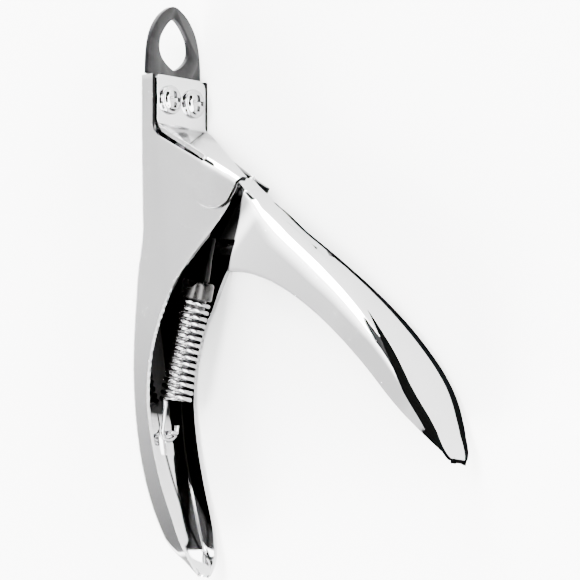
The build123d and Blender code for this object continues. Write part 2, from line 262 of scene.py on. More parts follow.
def cylinder(name, centre, radius, half, axis="Z", sides=48):
    """A bore cutter, given by its centre, radius and half length in mm."""
    form = bmesh.new()
    bmesh.ops.create_cone(form, cap_ends=True, segments=sides, radius1=radius * MM, radius2=radius * MM,
                          depth=2 * half * MM)
    turn = Matrix.Rotation(pi / 2, 4, "Y") if axis == "X" else Matrix.Identity(4)
    form.transform(Matrix.Translation(at(*centre)) @ turn)
    mesh = bpy.data.meshes.new(name)
    form.to_mesh(mesh)
    form.free()
    return add_to_scene(name, mesh)


def cut_screw_bores(obj, x, half):
    """Cuts the two screw holes, with cutters of a half length in mm centred at x."""
    for z in (-SCREW_Z, SCREW_Z):
        cut(obj, cylinder("screw_bore", (x, SCREW_Y, z), SCREW_R + BORE_GAP, half, "X"))


def cut_pin_bore(obj):
    """Cuts the pivot pin's hole right through."""
    cut(obj, cylinder("pin_bore", (*PIVOT, 0), PIN_R + BORE_GAP, 12))


def bent_sheet(name, rows, outward, shaded):
    """A sheet of metal from rows of points on its outer face, thickened inwards, with rounded edges.
    Its slots are the outside, the inside, the cut edges and the outer faces picked out by shaded."""
    faces = grid_faces(rows)
    across = len(rows[0]) - 1
    takes = [SHADED if shaded(k // across, k % across) else OUTSIDE for k in range(len(faces))]
    obj = new_object(name, [p for row in rows for p in row], faces, takes)
    with edited(obj) as form:
        bmesh.ops.remove_doubles(form, verts=form.verts, dist=0.02 * MM)
        total = sum((f.normal * f.calc_area() for f in form.faces), Vector())
        if total.dot(Vector(outward)) < 0:
            bmesh.ops.reverse_faces(form, faces=form.faces)
    add_slots(obj, "outside", "inside", "edges", "shaded")
    add_thickness(obj, SHEET, 1, 2)
    add_bevel(obj, SHEET_RIM, segments=4)
    return obj


def add_slots(obj, *names):
    """Empty material slots, so that thickening can tell its faces apart."""
    for name in names:
        obj.data.materials.append(bpy.data.materials.new(name))


def slab(name, outline, low, high, rim=0.0, along="z"):
    """A flat plate from an outline, between two heights, with eased edges if a rim is given."""
    count = len(outline)
    spot = (lambda p, h: (p[0], p[1], h)) if along == "z" else (lambda p, h: (h, p[0], p[1]))
    points = [spot(p, low) for p in outline] + [spot(p, high) for p in outline]
    faces = [tuple(range(count)), tuple(range(2 * count - 1, count - 1, -1))]
    faces += [(i, i + count, (i + 1) % count + count, (i + 1) % count) for i in range(count)]
    obj = new_object(name, points, faces)
    with edited(obj) as form:
        bmesh.ops.recalc_face_normals(form, faces=form.faces)
    if rim:
        add_bevel(obj, rim)
    return obj


def join(main, *others, sharp=35.0):
    """Joins finished meshes into one piece."""
    form = bmesh.new()
    for obj in (main, *others):
        form.from_mesh(obj.data)
    mesh = bpy.data.meshes.new(main.name)
    form.to_mesh(mesh)
    form.free()
    main.data = mesh
    for obj in others:
        bpy.data.objects.remove(obj)
    shade(mesh, sharp)
    return main


def lathe(name, profile, place, steps=64):
    """A round piece from (radius, height) points, put in place by a function of x, y and height."""
    points, faces = [], []
    for k in range(steps):
        turn = 2 * pi * k / steps
        points += [place(r * cos(turn), r * sin(turn), h) for r, h in profile]
    width = len(profile)
    for k in range(steps):
        for j in range(width - 1):
            a, b = k * width + j, ((k + 1) % steps) * width + j
            faces.append((a, b, b + 1, a + 1))
    obj = new_object(name, points, faces)
    with edited(obj) as form:
        bmesh.ops.remove_doubles(form, verts=form.verts, dist=0.005 * MM)
        bmesh.ops.holes_fill(form, edges=[e for e in form.edges if e.is_boundary])
        bmesh.ops.recalc_face_normals(form, faces=form.faces)
    return obj


def along_spring(x, y, h):
    """A point given in the spring's own axes: x across, y in thickness, h from the anchor up to the link."""
    across = Vector((cos(SPRING_LEAN), -sin(SPRING_LEAN)))
    up = Vector((sin(SPRING_LEAN), cos(SPRING_LEAN)))
    spot = Vector(ANCHOR) + across * x + up * h
    return (spot.x, spot.y, y)


def tube(name, path, radius, sides=12):
    """A wire swept along 3-D points in mm."""
    curve = bpy.data.curves.new(name, "CURVE")
    curve.dimensions = "3D"
    curve.bevel_depth = radius * MM
    curve.bevel_resolution = sides // 4
    curve.use_fill_caps = True
    spline = curve.splines.new("POLY")
    spline.points.add(len(path) - 1)
    for knot, p in zip(spline.points, path):
        knot.co = (*at(*p), 1)
    swept = add_to_scene(name + "_path", curve)
    mesh = bpy.data.meshes.new_from_object(swept.evaluated_get(bpy.context.evaluated_depsgraph_get()))
    bpy.data.objects.remove(swept)
    mesh.shade_smooth()
    return add_to_scene(name, mesh)


# ---- channel section shared by the two handles ----------------------------------------------------------
def channel_row(back, edge, half_width, bend, strip=0.6, turned=45.0):
    """One row across a channel: upper flange edge, bend, web, bend, lower flange edge.
    One column of the web lies a strip from the bend, one of the bend where it has turned so many degrees."""
    run = Vector((edge[0] - back[0], edge[1] - back[1]))
    depth = max(run.length, 0.02)
    run = run.normalized() if run.length > 1e-6 else Vector((1, 0))

    def spot(d):
        return back[0] + run.x * d, back[1] + run.y * d

    bend = max(min(bend, 0.8 * half_width(*spot(0)), 0.8 * depth), 0.01)
    upper = []
    for k in range(FLANGE_STEPS):
        x, y = spot(depth + (bend - depth) * k / FLANGE_STEPS)
        upper.append((x, y, half_width(x, y)))
    corner = half_width(*spot(bend))
    for k in range(BEND_STEPS + 1):
        turn = radians(turned * k / STEPS_TO_MARK if k < STEPS_TO_MARK
                       else turned + (90 - turned) * (k - STEPS_TO_MARK) / (BEND_STEPS - STEPS_TO_MARK))
        x, y = spot(bend * (1 - sin(turn)))
        upper.append((x, y, corner - bend * (1 - cos(turn))))
    flat = max(corner - bend, 0.0)
    inner = min(SLOT_HALF, 0.5 * flat)
    for z in (flat - min(strip, 0.3 * flat), (flat + inner) / 2, inner):
        upper.append((back[0], back[1], z))
    return upper + [(back[0], back[1], 0.0)] + [(x, y, -z) for x, y, z in reversed(upper)]


def channel(name, backs, edges, half_width, bends, outward, marks=lambda y: (), shaded=lambda i, j: False):
    """A channel from the points down its back and its flange edges, and the radius of its bends."""
    rows = [channel_row(b, e, half_width, r, *marks(b[1])) for b, e, r in zip(backs, edges, bends)]
    return bent_sheet(name, rows, outward, shaded)


# ---- fixed handle -------------------------------------------------------------------------------------
BODY_TIP = (11.6, -120.35)
BODY_PLAN = smooth_path([(-14, 10), (-60, 9.1), (-88, 8.9), (-106, 7.9), (-115.5, 5.6), (-120.8, 0)],
                        (-1, 0), (0, -1), 16)                    # y, half width
BODY_SECTION = [(4.4, 10.0), (21.0, 6.25), (24.5, 5.75)]         # x, half width
BACK = [(0, 0), (0, -36)] + smooth_path([(0, -36), (-2.1, -49), (-3.6, -71), (-1.2, -93), (4.9, -111.5),
                                        BODY_TIP], (0, -1), (0.45, -0.89))
KNEE_TOP, GRIP_TOP = -28, -44                                    # heights of the back where parts meet
HEAD_ROWS, SLOPE_ROWS, KNEE_ROWS, GRIP_ROWS = 7, 19, 15, 69


def body_half(x, y):
    """Half the fixed handle's width: it narrows down the grip and toward the shoulder."""
    return min(lookup(BODY_PLAN, y), lookup(BODY_SECTION, x))


def back_at(y):
    """The point of the fixed handle's back at a height."""
    return lookup(BACK, y, key=1), y


def body_edges():
    """Points down the flange edge: head, sloping shoulder, knee and grip."""
    slope_end, grip_start = (27.3, -28.1), (14.8, -44.1)
    head_end = (HEAD_DEPTH, -HEAD_LENGTH + 0.8)
    slope = [head_end, (4.2, -HEAD_LENGTH - 0.4), (5.2, -HEAD_LENGTH - 1.7),
             (19, -HEAD_LENGTH + (19 - HEAD_DEPTH) * SLOPE - 0.8), slope_end]
    knee = smooth_path([(25.4, -31.2), (20.4, -37.9), grip_start], (-0.42, -0.91), (-0.66, -0.75))
    grip = smooth_path([grip_start, (8.1, -53.5), (3.2, -64.3), (1.5, -75.8), (2.5, -86), (5.2, -97.5),
                        (8.9, -109), BODY_TIP], (-0.66, -0.75), (0.1, -1))
    edges = spaced([(HEAD_DEPTH, 0), head_end], HEAD_ROWS + 1)
    edges += spaced(slope, SLOPE_ROWS + 1)[1:]
    edges += spaced([slope_end] + knee, KNEE_ROWS + 1)[1:]
    return edges + spaced(grip, GRIP_ROWS + 1, ease_out)[1:]


def body_heights():
    """Heights of the back's points, two of them moved to the ends of the slot."""
    heights = [-HEAD_LENGTH * k / HEAD_ROWS for k in range(HEAD_ROWS + 1)]
    heights += [-HEAD_LENGTH - 15 * k / SLOPE_ROWS for k in range(1, SLOPE_ROWS + 1)]
    heights += [KNEE_TOP - 16 * k / KNEE_ROWS for k in range(1, KNEE_ROWS + 1)]
    reach = GRIP_TOP - BODY_TIP[1]
    heights += [GRIP_TOP - reach * ease_out(k / GRIP_ROWS) for k in range(1, GRIP_ROWS + 1)]
    near_slot = min(range(len(heights)), key=lambda i: abs(heights[i] - SLOT_TOP))
    far_slot = min(range(len(heights)), key=lambda i: abs(heights[i] - SLOT_FOOT))
    heights[near_slot], heights[far_slot] = SLOT_TOP, SLOT_FOOT
    return heights


def fixed_channel():
    """The head, the sloping shoulder and the grip as one bent sheet."""
    backs = [back_at(y) for y in body_heights()]
    bends = [HEAD_BEND + (GRIP_BEND - HEAD_BEND) * share(-y, 0, 60) for x, y in backs]
    return channel("fixed_handle_shell", backs, body_edges(), body_half, bends, (-1, 0, 0))


def open_slot(obj):
    """Takes the web out of the small window that the anchor tongue was folded from."""
    low, high = at(-6, SLOT_FOOT - 0.1, -SLOT_HALF - 0.05), at(0, SLOT_TOP + 0.1, SLOT_HALF + 0.05)

    def inside(v):
        return all(a < c < b for a, c, b in zip(low, v.co, high))

    with edited(obj) as form:
        window = [f for f in form.faces if all(inside(v) for v in f.verts)]
        bmesh.ops.delete(form, geom=window, context="FACES")


def anchor_tongue():
    """The tongue bent in from the web, with a rounded free end."""
    top = SLOT_TOP + SHEET
    outline = [(-2.3, SLOT_TOP), (2.1, SLOT_TOP)] + arc((2.1, SLOT_TOP + 0.5), 0.5, -80, 80, 6)
    outline += [(2.1, top), (-0.8, top), (-1.3, top + 0.35), (-2.0, top + 0.9)]
    return bake(slab("tongue", outline, -SLOT_HALF, SLOT_HALF, 0.12))


def build_fixed_handle():
    """The channel with its slot, screw holes, pin hole and anchor tongue."""
    shell = fixed_channel()
    open_slot(shell)
    bake(shell)
    cut_screw_bores(shell, 0, 3)
    cut_pin_bore(shell)
    join(shell, anchor_tongue(), sharp=60)
    keep_within(shell, cad_box)
    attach(shell, "body")
    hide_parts("fixed_handle")
    return shell


# ---- moving handle ------------------------------------------------------------------------------------
LEVER_WIDTH = [(-30, CHEEK_HALF), (NECK_END, CHEEK_HALF)] + smooth_path(
    [(NECK_END, CHEEK_HALF), (15, 6.0), (46, 8.5), (66, 9.5), (86, 8.4), (100, 0)], (1, 0.05), (0, -1), 20)
LEVER_TIP = (90.95, -99.55)
WEB_LEAN = 50.8
NECK_END_X, NECK_ROWS, GRIP_POINTS = 36.5, 60, 76
CHEEK_LEAN, CHEEK_LINE = 0.151, 32.2             # the painted shade on the lever's cheeks ends on this line across the lever
SHADE_START, SHADE_TIP = -62, -91                # heights where the near painted shade starts and takes all


def along_lever(x, y):
    """Distance from the pivot along an axis at 45 degrees, which the moving handle roughly follows."""
    return ((x - PIVOT[0]) - (y - PIVOT[1])) / 2 ** 0.5


def lever_half(x, y):
    """Half the moving handle's width."""
    return lookup(LEVER_WIDTH, along_lever(x, y))


def lever_bend(x, y):
    """Radius of the bends: tight at the pivot, full at the neck, tighter again toward the tip."""
    reach = along_lever(x, y)
    return 1.4 + 3.6 * share(reach, 6, 22) - 3.2 * share(reach, 40, 80)


def lever_marks(y):
    """The strip of web beside the bend, and the turn of the bend where the painted shade stops."""
    return 0.25 + 1.55 * share(-y, 32, 54), 88 - 83 * share(-y, -SHADE_START, 20 - SHADE_START)


def lever_edges():
    """Boss, lobe and the flange edge down to the tip, with the point where the back starts."""
    rim = arc(PIVOT, BOSS_R, WEB_LEAN, 165, 12)
    crown = rim[0]
    rim += arc(LINK_PIN, LOBE_R, 155, 285, 14)
    rim += [(26.3, -41.5), (24.2, -49)]
    edge = smooth_path([rim[-1], (37.9, -52.5), (52.3, -60.9), (66.8, -73.0), (82.8, -90.3), LEVER_TIP],
                       (1, -0.05), (0.6, -0.8), 16)
    return crown, spaced(rim, NECK_ROWS) + spaced(edge, GRIP_POINTS, ease_out)[1:]


def lever_channel():
    """Boss, lobe, flanges and back of the moving handle as one bent sheet."""
    crown, edges = lever_edges()
    back = smooth_path([crown, (34.9, -34.9), (60, -55), (76.3, -72.4), (86, -88.1), LEVER_TIP],
                       (0.775, -0.632), (0.42, -0.91), 16)
    neck = [p for p in back if p[0] < NECK_END_X]
    grip = [neck[-1]] + [p for p in back if p[0] >= NECK_END_X]
    backs = spaced(neck, NECK_ROWS) + spaced(grip, GRIP_POINTS, ease_out)[1:]

    def shaded(i, j):
        """The faces painted with shade: the lower bend with its strip of web, part of the upper bend, and the
        tip.
        """
        y = backs[i][1]
        upper_from = MARK_FACE if y > SHADE_TIP else 0
        return (i > len(backs) - 5 or WEB_STRIP <= j <= LOWER_BEND_END and i > NECK_ROWS * 0.6
                or y < SHADE_START and upper_from <= j <= UPPER_BEND_END)

    bends = [lever_bend(*b) for b in backs]
    return channel("moving_handle_shell", backs, edges, lever_half, bends, (0.6, 0.8, 0), lever_marks, shaded)


def build_moving_handle():
    """The channel with its pivot hole and link pin hole."""
    shell = bake(lever_channel())
    cut_pin_bore(shell)
    cut(shell, cylinder("link_bore", (*LINK_PIN, 0), LINK_PIN_R + 0.01, 12, sides=24), sharp=60)
    keep_within(shell, cad_box)
    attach(shell, "lever")
    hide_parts("moving_handle")
    return shell


# ---- cover plate --------------------------------------------------------------------------------------
COVER_BEND, EAR_FOLD = 2.0, 2.2
ARM_START, ARM_TAPER = 6.5, 0.5665               # the arm narrows on its far side from this x, by this much
COVER_FACE = COVER_BACK + COVER_T
LEAN = atan2(SLOPE, 1)
ARM_RISE = (0.12 + COVER_T) * hypot(1, SLOPE)
ALONG = Vector((cos(LEAN), sin(LEAN)))
UPWARD = Vector((-sin(LEAN), cos(LEAN)))


def slope_height(x):
    """Height of the arm's upper face at a given x."""
    return -HEAD_LENGTH + (x - HEAD_DEPTH) * SLOPE + ARM_RISE


def cover_path(count):
    """The cover's outer face in side view: down the front and round the bend to where the arm starts."""
    turn = pi / 2 + LEAN
    corner = slope_height(COVER_FACE)
    start = corner + COVER_BEND * sin(turn / 2) / cos(turn / 2)
    centre = (COVER_FACE + COVER_BEND, start)
    front = [(COVER_FACE, start * k / count) for k in range(count)]
    return front + arc(centre, COVER_BEND, 180, 180 + turn * 180 / pi, 10)


def arm_edges(x):
    """The z values of the arm's lower edge, the ear's fold line, the arm's upper edge and the ear's face."""
    lower = -COVER_HALF + max(x - ARM_START, 0) * ARM_TAPER
    outer = lookup(BODY_SECTION, x) + EAR_GAP + COVER_T
    upper = min(COVER_HALF - share(x, 9, 15.8) * 0.65, outer)
    fold = min(6.2, outer - EAR_FOLD)
    return lower, fold, upper, outer


def cover_rows():
    """Side view of the front and arm, the points the ear hangs from, and the drop to the ear's centre."""
    ear_top = Vector(EAR_CENTRE)
    drop = (slope_height(ear_top.x) - ear_top.y) * cos(LEAN)
    middle = ear_top + UPWARD * drop
    path = cover_path(14)
    first = middle - ALONG * EAR_R
    path += spaced([path[-1], tuple(first)], 12)[1:-1]
    folded = [middle - ALONG * EAR_R * cos(pi * k / 24) for k in range(25)]
    return path, folded, drop


def flat_rows(path, beyond):
    """Rows across the front and arm, up to the ear's fold or beyond it to the upper edge."""
    rows = []
    for x, y in path:
        lower, fold, upper, outer = arm_edges(x)
        inset = COVER_BEND - (COVER_BEND ** 2 - max(COVER_BEND + y, 0) ** 2) ** 0.5 if x < 5 else 0
        lower, upper = lower + inset, upper - 0.3 * inset
        row = [(x, y, lower + (fold - lower) * k / 10) for k in range(11)]
        if beyond:
            row += [(x, y, fold + (upper - fold) * k / 3) for k in range(1, 4)]
        rows.append(row)
    return rows


def ear_rows(folded, drop):
    """The fold over the upper flange and the round ear below it."""
    rows = []
    for k, top in enumerate(folded):
        across = -EAR_R * cos(pi * k / (len(folded) - 1))
        reach = drop + (EAR_R ** 2 - across ** 2) ** 0.5
        fold = arm_edges(top.x)[1]
        row = []
        for j in range(9):
            turn = pi / 2 * j / 8
            spot = top - UPWARD * EAR_FOLD * (1 - cos(turn))
            row.append((spot.x, spot.y, fold + (arm_edges(spot.x)[3] - fold) * sin(turn)))
        for j in range(1, 9):
            spot = top - UPWARD * (EAR_FOLD + (reach - EAR_FOLD) * j / 8)
            row.append((spot.x, spot.y, arm_edges(spot.x)[3]))
        rows.append(row)
    return rows


def patch(name, rows):
    """A thin sheet through rows of points."""
    return new_object(name, [p for row in rows for p in row], grid_faces(rows))


def cover_sheet():
    """Front, arm and ear joined into one thin sheet that faces outwards."""
    path, folded, drop = cover_rows()
    plate = patch("cover_sheet", flat_rows(path + [tuple(folded[0])], True))
    arm = patch("arm", flat_rows([tuple(p) for p in folded], False))
    ear = patch("ear", ear_rows(folded, drop))
    join(plate, arm, ear)
    with edited(plate) as form:
        bmesh.ops.remove_doubles(form, verts=form.verts, dist=0.03 * MM)
        bmesh.ops.recalc_face_normals(form, faces=form.faces)
        front = [f for f in form.faces if f.calc_center_median().x < at(4.6, 0).x]
        if sum(f.normal.x for f in front) < 0:
            bmesh.ops.reverse_faces(form, faces=form.faces)
    return plate


def build_cover():
    """The cover plate at its full thickness, with its screw holes."""
    plate = cover_sheet()
    add_slots(plate, "outside", "edges")
    add_thickness(plate, COVER_T, 0, 1)
    add_bevel(plate, SHEET_RIM, segments=4)
    bake(plate)
    cut_screw_bores(plate, 5, 3)
    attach(plate, "body")
    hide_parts("cover_plate")
    return plate


# ---- cutting ring -------------------------------------------------------------------------------------
def build_ring():
    """A plate with an arched top, a pointed oval opening and two screw holes; its curves are y, z."""
    arch = smooth_path([(0.4, 9.5), (6, 9.2), (10.2, 8.2), (13.3, 6.4), (15.8, 3.8), (17.4, 0)],
                       (1, 0), (0, -1), 8)
    side = [(-17, 8.85), (0.4, 8.85)] + arch
    outline = side + [(y, -z) for y, z in reversed(side[:-1])]
    hole = smooth_path([(1.9, 0), (4.1, 3.8), (6.9, 5.3), (10.6, 4.3), (14.4, 0)], (0.35, 1), (0.3, -1), 8)
    opening = hole + [(y, -z) for y, z in reversed(hole[1:-1])]
    ring = bake(slab("cutting_ring_plate", outline, RING_BACK, RING_BACK + RING_T, along="x"))
    cut(ring, slab("opening", opening, -1, 5, along="x"))
    cut_screw_bores(ring, 2, 3)
    add_bevel(ring, 0.14, segments=2, angle=60)
    bake(ring)
    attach(ring, "body")
    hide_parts("cutting_ring")
    return ring


# ---- screws -------------------------------------------------------------------------------------------
def screw(z):
    """A pan-head screw: stepped rim, low dome, cross recess and plain shank."""
    seat, shank_end, r = COVER_FACE, 0.1 - COVER_FACE, SCREW_HEAD_R
    shank = [(0, shank_end), (SCREW_R - 0.25, shank_end), (SCREW_R, shank_end + 0.25), (SCREW_R, 0.0)]
    rim = [(r - 0.12, 0.0), (r, 0.12), (r, 0.55), (r - 0.1, 0.78), (r - 0.32, 0.9), (r - 0.62, 0.92)]
    dome = [(r - 0.78, 1.02), (r - 0.95, 1.3), (r - 1.3, 1.6), (r - 1.8, 1.8), (r - 2.5, 1.88),
            (0, SCREW_HEAD_H)]
    piece = lathe("screw", shank + rim + dome, lambda a, b, h: (seat + h, SCREW_Y + a, z + b))
    bake(piece, sharp=40)
    recess_foot, recess_top = seat + SCREW_HEAD_H - 1.2, seat + SCREW_HEAD_H + 1
    for width, height in ((1.05, 4.0), (4.0, 1.05)):
        corners = [(SCREW_Y + a * width / 2, z + b * height / 2) for a, b in SQUARE]
        cut(piece, slab("recess", corners, recess_foot, recess_top, along="x"))
    return piece


def build_screws():
    """Both screws as one piece, since they are one node."""
    pair = join(screw(-SCREW_Z), screw(SCREW_Z))
    pair.name = "pan_head_screws"
    add_bevel(pair, 0.07, segments=2, angle=60)
    bake(pair, sharp=40)
    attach(pair, "body")
    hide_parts("cover_screws")
    return pair


# ---- spring, plug and link ------------------------------------------------------------------------------
COIL_TOP = HOOK_LENGTH + COIL_LENGTH
PLUG_FOOT = COIL_TOP + WIRE_R + 0.1


def build_spring():
    """A close-wound coil whose lower end rises into a loop round the anchor tongue."""
    per_turn = 32
    pitch = COIL_LENGTH / COIL_TURNS
    coil = []
    for k in range(1, COIL_TURNS * per_turn + 1):
        turn = pi / 2 + 2 * pi * k / per_turn
        coil.append((COIL_R * cos(turn), COIL_R * sin(turn), HOOK_LENGTH + pitch * k / per_turn))
    middle = HOOK_R - WIRE_R
    loop = [(0.0, b, middle + h) for b, h in arc((0, 0), HOOK_R, 150, 360, 28)]
    leg = [(0.0, 2.72, middle + 1.4), (0.0, 2.95, middle + 3.0), (0.0, 3.15, middle + 4.5),
           (0.0, 3.26, HOOK_LENGTH - 1.2), (-0.05, 3.3, HOOK_LENGTH - 0.6), (-0.3, 3.33, HOOK_LENGTH - 0.15)]
    wire = tube("return_spring_wire", [along_spring(*p) for p in loop + leg + coil], WIRE_R)
    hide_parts("return_spring")
    return wire


def spring_slab(name, outline, half):
    """A plate in the spring's own axes, this thick each side of the middle plane."""
    return slab(name, [along_spring(a, 0, h)[:2] for a, h in outline], -half, half)


def build_plug():
    """A round plug with a stub in the coil, a rounded top, a slot for the link and a saddle."""
    stub, top = COIL_R - WIRE_R - 0.1, PLUG_FOOT + PLUG_H
    profile = [(0, PLUG_FOOT - 3.0), (stub - 0.3, PLUG_FOOT - 3.0), (stub, PLUG_FOOT - 2.7),
               (stub, PLUG_FOOT), (PLUG_R - 0.25, PLUG_FOOT), (PLUG_R, PLUG_FOOT + 0.25), (PLUG_R, top - 1.1),
               (PLUG_R - 0.12, top - 0.6), (PLUG_R - 0.45, top - 0.2), (PLUG_R - 0.8, top - 0.12),
               (PLUG_R - 1.2, top - 0.35), (0, top - 0.55)]
    plug = lathe("spring_plug_cap", profile, along_spring)
    bake(plug, sharp=40)
    slot_half, slot_foot, slot_top = LINK_HALF + 0.02, COIL_TOP + 1.2, PLUG_FOOT + 7
    slot = [(-slot_half, slot_foot), (slot_half, slot_foot), (slot_half, slot_top), (-slot_half, slot_top)]
    cut(plug, spring_slab("slot", slot, LINK_T / 2 + 0.02))
    cut(plug, cylinder("saddle", along_spring(0, 0, top + 0.3), 2.5, 6))
    add_bevel(plug, 0.12, segments=2, angle=60)
    bake(plug, sharp=40)
    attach(plug, "spring_upper")
    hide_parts("spring_plug")
    return plug


def build_link():
    """The flat link from the plug to its pin, with a round eye that leaves the pin some play."""
    low, waist_half = COIL_TOP + 1.25, LINK_HALF - 0.35
    foot = [(-LINK_HALF, low), (LINK_HALF, low)]
    waist = [(LINK_HALF, low + 6), (waist_half, low + 9), (waist_half, LINK_REACH - 3.5)]
    crown = arc((0, LINK_REACH), LINK_HALF, 0, 180, 25)
    outline = foot + waist + crown + [(-a, h) for a, h in reversed(waist)]
    link = bake(spring_slab("spring_link_bar", outline, LINK_T / 2))
    cut(link, cylinder("eye", along_spring(0, 0, LINK_REACH), LINK_HOLE, 3))
    add_bevel(link, 0.16, segments=2, angle=60)
    bake(link)
    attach(link, "spring_upper")
    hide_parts("spring_link")
    return link


# ---- materials ----------------------------------------------------------------------------------------
def new_material(name):
    """A material with nodes, and what is needed to wire it up."""
    material = bpy.data.materials.new(name)
    material.use_nodes = True
    nodes, links = material.node_tree.nodes, material.node_tree.links
    return nodes, links, nodes["Principled BSDF"], material


def ramp(nodes, links, source, low, high, dark, light):
    """Maps a grey pattern between two positions onto two greys."""
    node = nodes.new("ShaderNodeMapRange")
    node.inputs["From Min"].default_value = low
    node.inputs["From Max"].default_value = high
    node.inputs["To Min"].default_value = dark
    node.inputs["To Max"].default_value = light
    links.new(source, node.inputs["Value"])
    return node.outputs["Result"]


def pattern(nodes, links, scale, stretch=(1, 1, 1), detail=4.0):
    """A noise in the piece's own space, optionally stretched one way."""
    place = nodes.new("ShaderNodeTexCoord")
    mapping = nodes.new("ShaderNodeMapping")
    mapping.inputs["Scale"].default_value = stretch
    noise = nodes.new("ShaderNodeTexNoise")
    noise.inputs["Scale"].default_value = scale
    noise.inputs["Detail"].default_value = detail
    links.new(place.outputs["Object"], mapping.inputs["Vector"])
    links.new(mapping.outputs["Vector"], noise.inputs["Vector"])
    return noise.outputs["Fac"]


def tinted(nodes, links, source, dark, light):
    """Mixes two colours by a grey pattern."""
    mix = nodes.new("ShaderNodeMix")
    mix.data_type = "RGBA"
    mix.inputs["A"].default_value = (*dark, 1)
    mix.inputs["B"].default_value = (*light, 1)
    links.new(source, mix.inputs["Factor"])
    return mix.outputs["Result"]


def bump(nodes, links, source, strength, distance):
    """Turns a grey pattern into fine relief."""
    node = nodes.new("ShaderNodeBump")
    node.inputs["Strength"].default_value = strength
    node.inputs["Distance"].default_value = distance
    links.new(source, node.inputs["Height"])
    return node.outputs["Normal"]


def metal(name, dark, light, gloss, scale, grain, depth, stretch=(1, 1, 1)):
    """A metal whose tone and gloss wander slightly, with fine marks that may be stretched one way."""
    nodes, links, shader, material = new_material(name + "_finish")
    shader.inputs["Metallic"].default_value = 1.0
    cloud = pattern(nodes, links, scale)
    marks = pattern(nodes, links, grain, stretch, detail=2.0)
    tone = ramp(nodes, links, cloud, 0.35, 0.65, 0, 1)
    links.new(tinted(nodes, links, tone, dark, light), shader.inputs["Base Color"])
    links.new(ramp(nodes, links, cloud, 0.4, 0.7, *gloss), shader.inputs["Roughness"])
    links.new(bump(nodes, links, marks, depth, 0.00002), shader.inputs["Normal"])
    return material


def painted_shade_matt(name, dark, light):
    """A dull, nearly black colour with a fine grain in its tone, painted on as shade."""
    nodes, links, shader, material = new_material(name + "_finish")
    grain = pattern(nodes, links, 900)
    links.new(tinted(nodes, links, grain, (dark,) * 3, (light,) * 3), shader.inputs["Base Color"])
    shader.inputs["Roughness"].default_value = 0.7
    shader.inputs["Specular IOR Level"].default_value = 0.0
    return material


def along(nodes, links, direction, low, high):
    """A ramp from 0 to 1 across the piece, between two distances in mm along a direction."""
    place = nodes.new("ShaderNodeTexCoord")
    dot = nodes.new("ShaderNodeVectorMath")
    dot.operation = "DOT_PRODUCT"
    dot.inputs[1].default_value = direction
    links.new(place.outputs["Object"], dot.inputs[0])
    start = Vector(direction).dot(ORIGIN)
    return ramp(nodes, links, dot.outputs["Value"], start + low * MM, start + high * MM, 0, 1)


def combine(nodes, links, first, second, operation):
    """Joins two grey patterns by an operation such as MINIMUM or MAXIMUM."""
    node = nodes.new("ShaderNodeMath")
    node.operation = operation
    links.new(first, node.inputs[0])
    links.new(second, node.inputs[1])
    return node.outputs["Value"]


def chrome_with_painted_reflections(name, groups, rough, dark=0.0005, clear=0.92):
    """Chrome plating that is clear where every zone of any one group is clear, with dark reflections painted
    on elsewhere.
    A zone is a direction, the distance along it where the painted dark is full and the distance where the
    plating is clear."""
    nodes, links, shader, material = new_material(name + "_finish")
    shader.inputs["Metallic"].default_value = 1.0
    shown = None
    for group in groups:
        part = None
        for zone in group:
            step = along(nodes, links, *zone)
            part = combine(nodes, links, part, step, "MINIMUM") if part else step
        shown = combine(nodes, links, shown, part, "MAXIMUM") if shown else part
    # painted reflection: the base colour turns dark where the zones leave no clear plating
    colour = tinted(nodes, links, shown, (dark,) * 3, (clear, clear, clear + 0.01))
    links.new(colour, shader.inputs["Base Color"])
    cloud = pattern(nodes, links, 150)
    links.new(ramp(nodes, links, cloud, 0.4, 0.7, rough, rough + 0.06), shader.inputs["Roughness"])
    return material


def paint(obj, materials):
    """Gives a piece its materials and keeps which face takes which."""
    takes = [face.material_index for face in obj.data.polygons]
    obj.data.materials.clear()
    for material in materials:
        obj.data.materials.append(material)
    last = len(materials) - 1
    for face, index in zip(obj.data.polygons, takes):
        face.material_index = min(index, last)


